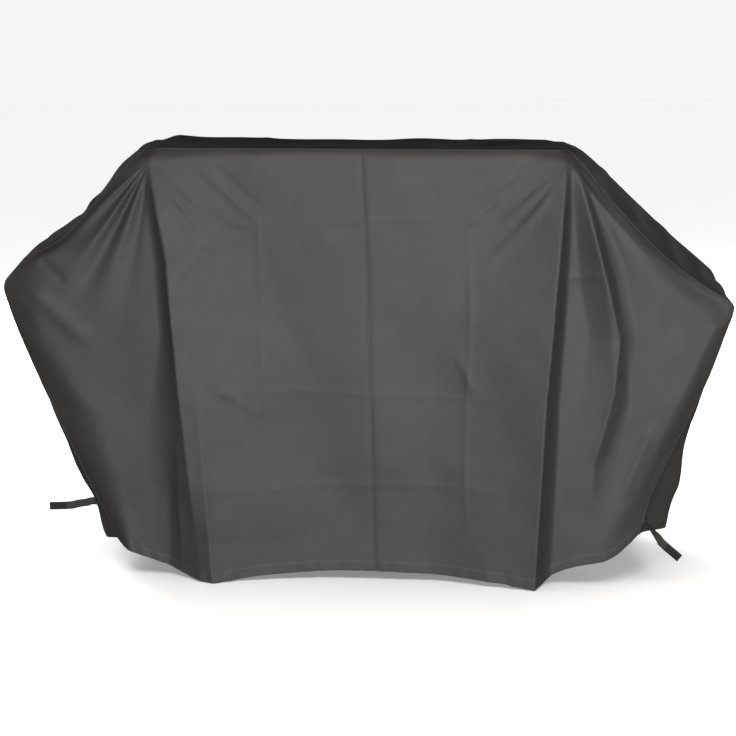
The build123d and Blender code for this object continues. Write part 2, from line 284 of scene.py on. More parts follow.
# ---- Seams ----
def seam(end, side):
    """One upright seam: its first points run up to the shelf tip, and the rest to the hood."""
    key = f"{end}_{side}"
    outward = -1 if side == "left" else 1
    plane = SEAM_Y[end]
    hem_x = HEM_BOX[end][0 if side == "left" else 1][0]
    hem_z = HEM_BOX[side][0][2] - CORNER_DROP[key]
    hem_corner = (hem_x - outward * CORNER_SHIFT[key], plane, hem_z)
    tip = (TIP_X[side] + outward * TIP_SHIFT[key][0], plane, TIP_Z + TIP_SHIFT[key][1])
    hood = (HOOD_X[side] + outward * HOOD_SHIFT[key], plane, TOP_Z - SEAM_DROP[end])
    lower = bent(hem_corner, tip, LOW_BENDS[key], outward)
    upper = bent(tip, hood, HIGH_BENDS[key], outward)
    # One spline through both runs, so that the seam turns softly at the shelf tip
    whole = spline(lower + upper[1:], 2000)
    tip_at = np.argmax(np.abs(whole[:, 0]))
    inward = 1 if end == "front" else -1
    heights = [(hem_corner[2], 0.0), (0.4, 0.5), (tip[2], 1.0), (TOP_Z, 2.0)]
    backs = [*SET_BACK[side], 0.002]
    whole[:, 1] += inward * np.interp(level(whole[:, 2], heights), (0.0, 0.5, 1.0, 2.0), backs)
    whole[:, 1] += inward * lean_back(whole[:, 2])
    lower, upper = evenly(whole[: tip_at + 1], BELOW + 1), evenly(whole[tip_at:], ABOVE + 1)
    return np.concatenate([lower, upper[1:]])


seams = {(end, side): seam(end, side) for end in ("front", "rear") for side in ("left", "right")}


# ---- The front and rear panels ----
def hem_height(x, start, end, lobes, rise):
    """How high the hem hangs at x: flat at its lobes, rising to the corners and the middle."""
    left, right = lobes
    points = [
        (start[0], start[2]),
        (left - 0.190, 0.038),
        (left - 0.110, 0.012),
        (left - 0.045, -0.003),
        (left + 0.020, -0.004),
        (left + 0.140, rise * 0.45),
        ((left + right) / 2 - 0.04, rise),
        (right - 0.110, rise * 0.40),
        (right - 0.045, 0.000),
        (right + 0.020, -0.003),
        (right + 0.065, 0.022),
        (right + 0.120, 0.044),
        (right + 0.210, 0.066),
        (end[0], end[2]),
    ]
    line = spline([(px, 0.0, pz) for px, pz in points], 400)
    return np.interp(x, line[:, 0], line[:, 2])


def front_centre(z):
    """The front centre seam's x, which leans a little to the right on its way down."""
    return level(z, [(0.0, 0.028), (0.5, 0.018), (0.94, 0.004), (1.15, -0.008)])


def rear_centre(z):
    """The rear centre seam's x."""
    return np.zeros_like(z)


def front_relief(x, z):
    """How far the front panel stands forward: its middle is proud, and both wings step back."""
    left, right = HOOD_X["left"], HOOD_X["right"]
    left_lobe, right_lobe = LOBES["front"]
    # The right main fold runs from the hood's corner to the lobe, with its steep side to the right
    line = [(0.0, right_lobe + 0.008), (0.5, right - 0.038), (0.9, right - 0.010)]
    line += [(1.13, right + 0.002)]
    high = [(0.0, 0.070), (0.30, 0.070), (0.70, 0.066), (0.95, 0.044), (1.08, 0.016), (1.13, 0.004)]
    steep = [(0.0, 0.050), (0.3, 0.044), (0.8, 0.032), (1.13, 0.016)]
    out = fold(x, z, line, high, [(0.0, 0.30), (0.6, 0.30), (1.1, 0.14)], steep, 1.5, 1.7)
    # The right wing's pleat: from the hood's corner outward, and back towards the hem
    line = [
        (0.10, right + 0.086),
        (0.32, right + 0.092),
        (0.52, right + 0.136),
        (0.66, right + 0.148),
        (0.80, right + 0.112),
        (0.98, right + 0.064),
        (1.12, right + 0.020),
    ]
    high = [(0.18, 0.0), (0.32, 0.010), (0.50, 0.022), (0.75, 0.038), (0.90, 0.038), (1.1, 0.005)]
    rise = [(0.12, 0.070), (0.50, 0.090), (0.80, 0.070), (1.12, 0.020)]
    step = [(0.12, 0.034), (0.50, 0.042), (0.70, 0.054), (0.85, 0.058), (1.0, 0.038), (1.12, 0.012)]
    out += fold(x, z, line, high, rise, step, 1.2, 1.8)
    # The hollow on its far side rises again to the seam
    line = [(0.12, right + 0.115), (0.5, right + 0.180), (0.8, right + 0.135), (1.12, right + 0.035)]
    deep = [(0.20, 0.0), (0.45, -0.006), (0.75, -0.014), (0.98, -0.012), (1.10, 0.0)]
    far_side = [(0.1, 0.09), (0.8, 0.10), (1.1, 0.03)]
    out += fold(x, z, line, deep, [(0.1, 0.05), (1.1, 0.02)], far_side, 1.2)
    # The left main fold: the left wing curves forward, faster and faster, to a soft crest
    line = [(0.06, left + 0.112), (0.25, left + 0.093), (0.5, left + 0.068), (0.85, left + 0.042)]
    line += [(1.08, left)]
    high = [(0.10, 0.012), (0.26, 0.040), (0.50, 0.056), (0.80, 0.052), (0.98, 0.036), (1.09, 0.006)]
    climb = [(0.0, 0.130), (0.35, 0.120), (0.52, 0.080), (0.66, 0.046), (0.9, 0.040), (1.1, 0.024)]
    out += fold(x, z, line, high, climb, [(0.0, 0.34), (0.6, 0.34), (1.1, 0.16)], 2.0, 1.5)
    # A second, softer step low on the left wing
    line = [(0.04, left + 0.060), (0.40, left + 0.056)]
    high = [(0.04, 0.004), (0.16, 0.016), (0.30, 0.012), (0.44, 0.0)]
    out += fold(x, z, line, high, [(0.0, 0.040)], [(0.0, 0.10)], 1.8, 1.2)
    # The left lobe, where the cloth swings out to the hem
    line = [(0.0, left_lobe - 0.010), (0.3, left_lobe - 0.028), (0.6, left_lobe - 0.050)]
    high = [(0.0, 0.062), (0.25, 0.034), (0.50, 0.008), (0.70, 0.0)]
    return out + fold(x, z, line, high, [(0.0, 0.13), (0.6, 0.06)], [(0.0, 0.28), (0.6, 0.22)], 1.3)


def front_zones(z):
    """Where the front panel starts to turn back to its left and right seams."""
    left = HOOD_X["left"]
    edge = [(0.08, left - 0.080), (0.27, left - 0.104), (0.45, left - 0.150), (0.55, left - 0.235)]
    edge += [(0.64, left - 0.300), (0.74, left - 0.315), (0.80, left - 0.260), (1.13, left + 0.020)]
    right = HOOD_X["right"]
    other = [(0.12, right + 0.11), (0.45, right + 0.27), (0.72, right + 0.385), (1.13, right - 0.02)]
    return level(z, edge), level(z, other)


def rear_zones(z):
    """Where the rear panel starts to turn forward to its left and right seams."""
    outline = [(0.08, 0.06), (0.45, 0.22), (0.74, 0.32), (1.13, -0.02)]
    return HOOD_X["left"] - level(z, outline), HOOD_X["right"] + level(z, outline)


def front_wrinkles(x, z):
    """Folds that fan out from the hood's corners, and small tension wrinkles."""
    left, right = HOOD_X["left"], HOOD_X["right"]
    left_apex, right_apex = (left, TOP_Z - 0.035), (right + 0.012, TOP_Z - 0.030)
    left_spokes = [
        (-50, 0.006, 3.5),
        (-43, -0.006, 4.0),
        (-36, 0.007, 3.2),
        (-29, -0.009, 3.6),
        (-21, 0.008, 4.0),
        (-12, -0.005, 3.6),
    ]
    out = fan(x, z, left_apex, left_spokes, 0.52)
    out += fan(x, z, right_apex, [(33, 0.004, 4.0), (42, -0.004, 4.0), (50, 0.003, 3.0)], 0.45)
    inward = [(30, 0.0024, 2.6), (36, -0.0020, 2.4), (42, 0.0028, 2.4), (49, -0.0016, 2.8)]
    out += fan(x, z, left_apex, inward, 0.34)
    out += fan(x, z, right_apex, [(-angle - 4, high, wide) for angle, high, wide in inward], 0.32)
    # Away from the corners: start and end from the hood's corner beside them, height, half width
    left_runs = [
        ((0.135, -0.60), (0.270, -0.69), 0.0026, 0.014),
        ((0.13, -0.055), (0.27, -0.185), 0.0026, 0.009),
        ((0.17, -0.050), (0.28, -0.150), -0.0022, 0.009),
        ((0.13, -0.150), (0.25, -0.205), 0.0022, 0.008),
        ((0.10, -0.240), (0.22, -0.270), -0.0018, 0.012),
        ((-0.33, -0.37), (-0.19, -0.50), 0.0060, 0.024),
        ((-0.36, -0.44), (-0.25, -0.62), -0.0040, 0.024),
        ((-0.30, -0.30), (-0.24, -0.35), -0.0060, 0.013),
    ]
    right_runs = [
        ((-0.265, -0.54), (-0.225, -0.63), 0.0026, 0.013),
        ((-0.11, -0.075), (-0.27, -0.210), 0.0026, 0.009),
        ((-0.13, -0.065), (-0.28, -0.165), -0.0020, 0.010),
        ((-0.05, -0.130), (-0.20, -0.300), 0.0022, 0.011),
        ((0.010, -0.325), (0.090, -0.315), 0.0036, 0.012),
        ((0.22, -0.28), (0.36, -0.38), -0.0032, 0.020),
        ((0.25, -0.43), (0.29, -0.63), -0.0030, 0.028),
        ((0.10, -0.80), (0.16, -0.62), 0.0045, 0.022),
        ((0.17, -0.90), (0.24, -0.72), 0.0055, 0.016),
    ]
    for corner, runs in ((left, left_runs), (right, right_runs)):
        for (ax, az), (bx, bz), height, width in runs:
            out += streak(x, z, (corner + ax, TOP_Z + az), (corner + bx, TOP_Z + bz), height, width)
    return out


def packing_folds(x, z, seed):
    """0 to 1 on the lines where the panel was folded flat: two upright, three level."""
    out = np.zeros_like(x)
    for line_x in FOLD_X:
        drawn = ease((z - 0.10) * 7) * ease((1.04 - z) * 7)
        out = np.maximum(out, crease(x - line_x + 0.004 * np.sin(z * 9 + seed), 0.020) * drawn)
    for line_z in FOLD_Z:
        drawn = ease((x + 0.46) * 8) * ease((0.44 - x) * 8)
        wander = 0.006 * np.sin(x * 7 + line_z * 9 + seed)
        out = np.maximum(out, 0.7 * crease(z - line_z - wander, 0.022) * drawn)
    return out


def rear_relief(x, z):
    """How far the rear panel stands behind its seams' plane."""
    out = 0.008 * ease((1.10 - z) / 0.5)
    left_lobe, right_lobe = LOBES["rear"]
    shapes = (("left", left_lobe, 0.05, 0.26), ("right", right_lobe, 0.26, 0.045))
    for side, at, left_width, right_width in shapes:
        corner = HOOD_X[side]
        line = [(0.0, at), (0.6, 0.4 * at + 0.6 * corner), (1.12, corner)]
        high = [(0.0, 0.056), (0.4, 0.036), (0.8, 0.022), (1.12, 0.0)]
        left, right = ([(0, width), (1, width / 2)] for width in (left_width, right_width))
        out += fold(x, z, line, high, left, right)
        hollow = [(0.0, corner * 1.03), (1.12, corner * 1.04)]
        out -= fold(x, z, hollow, [(0, 0.018), (0.8, 0.012), (1.1, 0)], [(0, 0.07)], [(0, 0.07)], 1.3)
    return out


def rear_wrinkles(x, z):
    """Folds of the rear panel that fan out from the hood's corners."""
    out = np.zeros_like(x)
    spokes = [(16, -0.010, 5.0), (25, 0.007, 4.0), (34, -0.006, 4.0), (43, 0.005, 4.0)]
    spokes += [(-36, 0.003, 3.5)]
    for side, way in (("left", -1), ("right", 1)):
        apex = (HOOD_X[side], TOP_Z - 0.030)
        out += fan(x, z, apex, [(way * angle, high, wide) for angle, high, wide in spokes], 0.50)
    out += streak(x, z, (0.86, 0.76), (0.72, 0.58), 0.004, 0.026)
    return out + streak(x, z, (-0.86, 0.77), (-0.70, 0.62), 0.004, 0.026)


SHAPES = {
    "front": (front_centre, front_relief, front_zones, front_wrinkles, 11),
    "rear": (rear_centre, rear_relief, rear_zones, rear_wrinkles, 17),
}


def panel_grid(end):
    """The points of the front or rear panel, and where its packing folds show."""
    centre, relief, zones, wrinkles, seed = SHAPES[end]
    left, right = seams[end, "left"], seams[end, "right"]
    way = -1 if end == "front" else 1
    mean = (left + right) / 2
    middle = np.stack([centre(mean[:, 2]), mean[:, 1], mean[:, 2]], 1)
    u = np.linspace(0, 1, HALF + 1)[None, :, None]
    first = left[:, None] * (1 - u) + middle[:, None] * u
    second = middle[:, None] * (1 - u) + right[:, None] * u
    grid = np.concatenate([first, second[:, 1:]], 1)
    x, y, z = grid[..., 0], grid[..., 1], grid[..., 2]
    plane = SEAM_Y[end] + way * (PROUD - lean_back(z))
    left_zone, right_zone = zones(left[:, 2:3])
    ramp = np.clip((x - left[:, :1]) / np.maximum(left_zone - left[:, :1], 0.03), 0, 1)
    y = left[:, 1:2] + (plane - left[:, 1:2]) * np.sin(ramp * math.pi / 2)
    ramp = np.clip((right[:, :1] - x) / np.maximum(right[:, :1] - right_zone, 0.03), 0, 1)
    far = right[:, 1:2] + (plane - right[:, 1:2]) * np.sin(ramp * math.pi / 2)
    y = np.where(x > middle[:, :1], far, y)
    share = np.linspace(0, 1, len(left))[:, None]
    drop = hem_height(x[0], left[0], right[0], LOBES[end], HEM_RISE[end]) - z[0]
    z = z + drop[None, :] * (1 - share) ** 1.6
    # The relief dies out at the seams and at the hood's edge
    from_left = np.hypot(x - left[:, None, 0], z - left[:, None, 2])
    from_right = np.hypot(x - right[:, None, 0], z - right[:, None, 2])
    from_side = np.minimum(from_left, from_right)
    from_top = left[-1, 2] - z
    wide = ease(from_side / RELIEF_FADE) * ease(from_top / 0.070 + 0.05)
    fine = ease(from_side / FINE_FADE) * ease(from_top / FINE_FADE)
    folds = packing_folds(x, z, seed)
    soft = 0.0034 * waves(x, z, seed, 0.30) + 0.0006 * waves(x, z, seed + 1, 0.12)
    near_hem = ease((PUCKER_REACH - (z - z[0])) / PUCKER_REACH)
    pucker = 0.0010 * waves(x, z * 0.2, seed + 2, PUCKER_PITCH) * near_hem
    dip = CENTRE_DIP * crease(x - centre(z), CENTRE_DIP_WIDTH)
    small = wrinkles(x, z) + soft + FOLD_RIDGE * folds - dip
    out = relief(x, z) * wide + small * fine + pucker * fine
    return np.stack([x, y + way * out, z], -1), folds * fine


# ---- The strip round the cover ----
def arch(t, ends=0.12):
    """0 at both seams, 1 over the middle of the strip."""
    return ease(t / ends) * ease((1 - t) / ends)


def strip_grid(front, rear, way, bulge):
    """Points from the front seam to the rear seam, moved out along the strip's normal by bulge."""
    t = np.linspace(0, 1, DEPTH_STEPS + 1)[None, :]
    grid = front[:, None] * (1 - t)[..., None] + rear[:, None] * t[..., None]
    run = np.gradient((front + rear) / 2, axis=0)
    outward = way * np.stack([-run[:, 2], np.zeros(len(run)), run[:, 0]], 1)
    outward /= np.linalg.norm(outward, axis=1)[:, None]
    s = np.linspace(0, 1, len(front))[:, None]
    out = bulge(s * np.ones_like(t), t * np.ones_like(s))
    return grid + outward[:, None] * out[..., None]


def top_bulge(s, t):
    """The top rolls up over the hood's edges and sags between them."""
    x, y = s * (HOOD_X["right"] - HOOD_X["left"]), t * (SEAM_Y["rear"] - SEAM_Y["front"])
    roll = 0.012 * ease(t / 0.12 + 0.05) * ease((1 - t) / 0.12 + 0.05)
    sag = -0.012 * np.sin(np.pi * t) * arch(t, 0.2)
    ends = 0.007 * np.exp(-(((s - 0.04) / 0.05) ** 2)) - 0.004 * np.exp(-(((s - 0.42) / 0.16) ** 2))
    ripple = 0.0020 * waves(x, y, 31, 0.26)
    pulled = streak(x, y, (0.10, 0.10), (0.32, 0.26), 0.004, 0.018)
    pulled += streak(x, y, (0.98, 0.40), (0.80, 0.22), 0.004, 0.018)
    packed = 0.0022 * np.maximum(crease(x - 0.27, 0.035), crease(x - 0.80, 0.035))
    return (roll + sag + (ends + ripple + pulled + packed) * arch(t)) * arch(s, 0.06)


def shoulder_bulge(seed):
    """A shoulder hangs slack between its two seams, with folds across it."""

    def bulge(s, t):
        draw = np.random.default_rng(seed)
        out = 0.010 * np.sin(np.pi * t) * np.sin(np.pi * s)
        for place in (0.16, 0.36, 0.58, 0.80):
            lean = draw.uniform(-0.18, 0.18)
            size = draw.uniform(0.004, 0.008)
            wide = draw.uniform(0.035, 0.060)
            ridge = np.exp(-(((s - place - lean * (t - 0.5)) / wide) ** 2))
            out += size * ridge * np.sin(np.pi * t) ** 0.6
        return out + 0.0024 * waves(s * 0.55, t * 0.5, seed + 5, 0.16) * arch(t)

    return bulge


def side_bulge(side, seed):
    """A side hangs from the shelf's edge and swells out towards the hem in upright folds."""

    def bulge(s, t):
        draw = np.random.default_rng(seed)
        out = level(s, SWELL[side]) * arch(t, 0.20)
        for place in (0.30, 0.56, 0.80):
            lean = draw.uniform(-0.08, 0.08)
            size = draw.uniform(0.006, 0.011)
            wide = draw.uniform(0.06, 0.09)
            near = ease((1 - s) * 1.5) * arch(t)
            out += size * np.exp(-(((t - place - lean * (1 - s)) / wide) ** 2)) * near
            out -= 0.5 * size * np.exp(-(((t - place - 0.12) / wide) ** 2)) * near
        return out + 0.0026 * waves(s * 0.7, t * 0.5, seed + 5, 0.20) * arch(t)

    return bulge


def settle(grid, node):
    """Ease a side's cloth on to the back of a strap patch, so that the patch lies on it."""
    low, high = (np.array(corner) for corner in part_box(node))
    spot = (low + high) / 2
    spot[0] -= math.copysign(0.0016, spot[0])
    gaps = np.linalg.norm(grid - spot, axis=-1)
    nearest = grid.reshape(-1, 3)[np.argmin(gaps)]
    near = np.exp(-((np.linalg.norm(grid - nearest, axis=-1) / PATCH_REACH) ** 2))
    return grid + near[..., None] * (spot - nearest) * [1, 0, 1]


# ---- Meshes ----
def grid_normals(grid):
    """Unit normals of a grid: its column direction crossed with its row direction."""
    square = np.cross(np.gradient(grid, axis=1), np.gradient(grid, axis=0))
    return square / np.maximum(np.linalg.norm(square, axis=-1, keepdims=True), 1e-12)


def grid_faces(rows, columns, start=0, closed=False, flip=False):
    """The quads of a grid of points. A closed grid's last row joins its first."""
    index = np.arange(rows * columns).reshape(rows, columns) + start
    if closed:
        index = np.concatenate([index, index[:1]])
    quads = np.stack([index[:-1, :-1], index[:-1, 1:], index[1:, 1:], index[1:, :-1]], -1)
    quads = quads[..., ::-1] if flip else quads
    return quads.reshape(-1, 4)


def make_piece(name, points, faces, uv, material, wear=None):
    """A mesh object with metres as UVs and a wear value at each point."""
    mesh = bpy.data.meshes.new(name)
    mesh.from_pydata(points.tolist(), [], faces if isinstance(faces, list) else faces.tolist())
    layer = mesh.uv_layers.new(name="cloth")
    corners = np.empty(len(mesh.loops), int)
    mesh.loops.foreach_get("vertex_index", corners)
    layer.data.foreach_set("uv", uv[corners].astype(np.float32).ravel())
    if wear is not None:
        shown = mesh.attributes.new("wear", "FLOAT", "POINT")
        shown.data.foreach_set("value", wear.astype(np.float32).ravel())
    mesh.shade_smooth()
    mesh.materials.append(material)
    piece = bpy.data.objects.new(name, mesh)
    bpy.context.scene.collection.objects.link(piece)
    return piece


def belongs(piece, slot, *nodes):
    """A fixed piece of the cover and the nodes that it stands for. Its slot is not used."""
    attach(piece, "cover")
    if nodes:
        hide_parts(*nodes)


def flat_lengths(grid):
    """Lengths across and up a grid, from its first column and row."""
    across = np.cumsum(np.linalg.norm(np.diff(grid, axis=1, prepend=grid[:, :1]), axis=-1), 1)
    up = np.cumsum(np.linalg.norm(np.diff(grid, axis=0, prepend=grid[:1]), axis=-1), 0)
    return np.stack([across, up], -1).reshape(-1, 2)


def sheet_piece(name, grid, material, way, wear=None):
    """A cloth piece from a grid of points, thickened inward. way is -1 where normals point in."""
    rows, columns = grid.shape[:2]
    faces = grid_faces(rows, columns, flip=way < 0)
    piece = make_piece(name, grid.reshape(-1, 3), faces, flat_lengths(grid), material, wear)
    # Sharp outer edges keep the shading of neighbouring pieces continuous across their seams
    mesh = piece.data
    used = np.empty(len(mesh.loops), int)
    mesh.loops.foreach_get("edge_index", used)
    border = np.bincount(used, minlength=len(mesh.edges)) == 1
    mesh.attributes.new("sharp_edge", "BOOLEAN", "EDGE").data.foreach_set("value", border)
    shell = piece.modifiers.new("thickness", "SOLIDIFY")
    shell.thickness = CLOTH
    shell.offset = -1
    return piece


def split_hem(grid):
    """The hem's rows of a panel, and the rest of the panel above them."""
    rows, columns = grid.shape[:2]
    hem = np.empty((HEM_ROWS + 1, columns, 3))
    body = np.empty_like(grid)
    for i in range(columns):
        total = lengths_along(grid[:, i])[-1]
        hem[:, i] = read_at(grid[:, i], np.linspace(0, HEM, HEM_ROWS + 1))
        body[:, i] = read_at(grid[:, i], np.linspace(HEM, total, rows))
    return hem, body


def hem_piece(name, rows, way, material):
    """A turned hem: the cloth's outside, a rolled lower edge and a second layer inside."""
    out = way * grid_normals(rows)
    stand = np.full(len(rows), HEM_STAND)
    stand[-1] = HEM_STAND / 4
    outside = rows + out * stand[:, None, None]
    down = rows[:1] - rows[1:2]
    down /= np.linalg.norm(down, axis=-1, keepdims=True)
    rolls = [rows[:1] + down * HEM_ROLL + out[:1] * side for side in (0.0002, -0.0012)]
    inside = rows - out * HEM_DEPTH
    # The upper edge is tucked behind the cloth above it
    tucked = rows[-1:] - down[:1] * 0.0010 - out[-1:] * 0.0003
    loop = np.concatenate([tucked, outside[::-1], *rolls, inside])
    faces = grid_faces(*loop.shape[:2], closed=True, flip=way > 0)
    wear = np.zeros(loop.shape[:2])
    wear[len(rows) : len(rows) + 3] = HEM_WEAR
    return make_piece(name, loop.reshape(-1, 3), faces, flat_lengths(loop), material, wear)


def rail_piece(name, path, across, outward, half_width, half_height, material):
    """A slim rounded band along a path, flattened towards the cloth."""
    loop = []
    for angle in np.linspace(0, 2 * math.pi, 9)[:-1]:
        wide, high = half_width * math.cos(angle), half_height * math.sin(angle)
        loop.append(path + across * wide + outward * high)
    loop = np.array(loop)
    faces = grid_faces(*loop.shape[:2], closed=True)
    return make_piece(name, loop.reshape(-1, 3), faces, flat_lengths(loop), material)


def tape_piece(name, node, grids, way):
    """Flat tapes on the inside of the cloth, from stretches of its grid."""
    points, faces, uvs, count = [], [], [], 0
    for grid in grids:
        inward = -way * grid_normals(grid)
        near, far = grid + inward * TAPE_DEPTH, grid + inward * (TAPE_DEPTH + TAPE_THICK)
        loop = np.concatenate([near, far[::-1]])
        faces.append(grid_faces(*loop.shape[:2], start=count, closed=True, flip=way > 0))
        points.append(loop.reshape(-1, 3))
        uvs.append(flat_lengths(loop))
        count += loop.shape[0] * loop.shape[1]
    points, faces, uvs = (np.concatenate(part) for part in (points, faces, uvs))
    belongs(make_piece(name, points, faces, uvs, tape_cloth), "seam_tape", node)


def stitch_piece(name, rows, length=STITCH, pitch=STITCH_PITCH, radius=THREAD, nodes=()):
    """Rows of stitches: each row is a path and the cloth's normal along it."""
    sides = 5
    ring = np.linspace(0, 2 * math.pi, sides + 1)[:-1]
    stations = [(0.0, 0.30), (0.16, 0.95), (0.84, 0.95), (1.0, 0.30)]
    points, faces = [], []
    for path, normal in rows:
        total = lengths_along(path)[-1]
        starts = np.arange(pitch / 2, total - length, pitch)
        first, last = read_at(path, starts), read_at(path, starts + length)
        out = np.stack([np.interp(starts, lengths_along(path), normal[:, i]) for i in range(3)], 1)
        run = last - first
        side = np.cross(run, out)
        side /= np.linalg.norm(side, axis=1, keepdims=True)
        for i in range(len(starts)):
            base = len(points) * len(stations) * sides
            rings = []
            for share, size in stations:
                lift = radius * (0.75 if 0 < share < 1 else -0.3)
                centre = first[i] + run[i] * share + out[i] * lift
                spokes = np.outer(np.cos(ring), side[i]) + np.outer(np.sin(ring), out[i])
                rings.append(centre + radius * size * spokes)
            points.append(np.concatenate(rings))
            for k in range(len(stations) - 1):
                for j in range(sides):
                    a, b = base + k * sides + j, base + k * sides + (j + 1) % sides
                    faces.append((a, b, b + sides, a + sides))
            faces.append(tuple(base + j for j in reversed(range(sides))))
            faces.append(tuple(base + (len(stations) - 1) * sides + j for j in range(sides)))
    points = np.concatenate(points)
    belongs(make_piece(name, points, faces, points[:, [0, 2]], thread), "stitching", *nodes)


# ---- Materials ----
CRUMPLE = 0.0012  # height of the cloth's small soft dents


def math_node(tree, operation, first, second):
    """A maths node between two sockets or numbers."""
    made = tree.nodes.new("ShaderNodeMath")
    made.operation = operation
    for socket, value in zip(made.inputs, (first, second)):
        if isinstance(value, (int, float)):
            socket.default_value = value
        else:
            tree.links.new(value, socket)
    return made.outputs[0]


def set_inputs(node, values):
    """Set a node's own values, by the names of its sockets."""
    for name, value in values.items():
        node.inputs[name].default_value = value


def noise_node(tree, place, scale, detail):
    """Smooth noise, 0 to 1."""
    made = tree.nodes.new("ShaderNodeTexNoise")
    set_inputs(made, {"Scale": scale, "Detail": detail})
    tree.links.new(place, made.inputs["Vector"])
    return made.outputs["Fac"]


def map_node(tree, value, values):
    """A value mapped between the ranges that are given."""
    made = tree.nodes.new("ShaderNodeMapRange")
    set_inputs(made, values)
    tree.links.new(value, made.inputs["Value"])
    return made.outputs[0]


def bump_node(tree, height, distance, strength, normal=None):
    """Fine relief from a height, on top of the relief that normal has."""
    made = tree.nodes.new("ShaderNodeBump")
    set_inputs(made, {"Strength": strength, "Distance": distance})
    tree.links.new(height, made.inputs["Height"])
    if normal is not None:
        tree.links.new(normal, made.inputs["Normal"])
    return made.outputs[0]


def weave_height(tree, pitch):
    """The height of woven threads, which run along and across the cloth's flat lengths."""
    uv = tree.nodes.new("ShaderNodeUVMap")
    uv.uv_map = "cloth"
    split = tree.nodes.new("ShaderNodeSeparateXYZ")
    tree.links.new(uv.outputs[0], split.inputs[0])
    threads = []
    for axis, size in enumerate(pitch):
        turned = math_node(tree, "MULTIPLY", split.outputs[axis], math.pi / size)
        threads.append(math_node(tree, "SINE", turned, 0.0))
    return math_node(tree, "MULTIPLY", *threads)


def mottled_colour(tree, colour, mottle, cloudy, patchy, slubs):
    """A colour that varies softly, and is paler where the cloth is worn."""
    tone = math_node(tree, "MULTIPLY", cloudy, 0.30)
    for noise, share in ((patchy, 0.25), (slubs, 0.45)):
        tone = math_node(tree, "ADD", tone, math_node(tree, "MULTIPLY", noise, share))
    ramp = tree.nodes.new("ShaderNodeValToRGB")
    tree.links.new(tone, ramp.inputs[0])
    stops = ramp.color_ramp.elements
    for stop, position, shade in zip(stops, (0.34, 0.66), (1 - mottle, 1 + mottle)):
        stop.position = position
        stop.color = [c * shade for c in colour] + [1]
    worn = tree.nodes.new("ShaderNodeAttribute")
    worn.attribute_name = "wear"
    rubbed = math_node(tree, "MULTIPLY", worn.outputs["Fac"], math_node(tree, "MULTIPLY", slubs, 0.7))
    mix = tree.nodes.new("ShaderNodeMix")
    mix.data_type = "RGBA"
    tree.links.new(rubbed, mix.inputs["Factor"])
    tree.links.new(ramp.outputs[0], mix.inputs["A"])
    mix.inputs["B"].default_value = [min(c * 2.2 + 0.01, 1) for c in colour] + [1]
    return mix.outputs["Result"]


def textile(name, colour, pitch, relief=0.00007, rough=0.70, mottle=0.10, sheen=0.0):
    """Woven cloth or tape: threads at a pitch, slubs, mottled shade, worn edges and folds."""
    material = bpy.data.materials.new(name)
    material.use_nodes = True
    tree = material.node_tree
    shader = tree.nodes["Principled BSDF"]
    set_inputs(shader, {"Sheen Weight": sheen, "Sheen Roughness": 0.5, "Specular IOR Level": 0.85})
    place = tree.nodes.new("ShaderNodeTexCoord").outputs["Object"]
    cloudy = noise_node(tree, place, 2.6, 2.0)
    patchy = noise_node(tree, place, 34.0, 3.0)
    slubs = noise_node(tree, place, 460.0, 2.0)
    base = mottled_colour(tree, colour, mottle, cloudy, patchy, slubs)
    roughness = map_node(tree, patchy, {"To Min": rough - 0.04, "To Max": rough + 0.04})
    normal = bump_node(tree, weave_height(tree, pitch), relief, 0.8)
    normal = bump_node(tree, patchy, CRUMPLE, 0.5, normal)
    for socket, made in (("Base Color", base), ("Roughness", roughness), ("Normal", normal)):
        tree.links.new(made, shader.inputs[socket])
    return material


# Each has a colour and the spacing of its threads along and across
cover_cloth = textile("cover_cloth", (0.0250, 0.0236, 0.0228), (0.0007, 0.0007))
binding_cloth = textile("binding_cloth", (0.0220, 0.0208, 0.0200), (0.0006, 0.0006))
tape_cloth = textile("tape_cloth", (0.0220, 0.0210, 0.0205), (0.0009, 0.0005), rough=0.6)
webbing = textile("webbing", (0.0160, 0.0156, 0.0154), (0.0018, 0.0009), relief=0.0003, mottle=0.18)
hook_face = textile("hook_face", (0.0100, 0.0098, 0.0097), (0.0011, 0.0011), relief=0.0006, rough=0.5)
loop_face = textile("loop_face", (0.0130, 0.0127, 0.0125), (0.0008, 0.0008), relief=0.0003, sheen=0.20)
thread = textile("thread", (0.0240, 0.0227, 0.0219), (0.0004, 0.0004), rough=0.55)


panels, joined = {}, {}
seam_stitches, centre_stitches, hem_stitches = [], [], []


def cloth(node, name, grid, way, wear=None):
    """A panel of the cover's cloth, which stands for a node."""
    panels[node] = sheet_piece(name, grid, cover_cloth, way, wear)
    belongs(panels[node], "cover_fabric", node)


def turned_hem(edge, rows, way):
    """The hem along one edge of the cover, and its row of topstitching."""
    node = f"hem_{edge}"
    panels[node] = hem_piece(f"{edge}_hem_cloth", rows, way, cover_cloth)
    belongs(panels[node], "cover_fabric", node)
    hem_stitches.append((rows[HEM_ROWS - 1], way * grid_normals(rows)[HEM_ROWS - 1]))


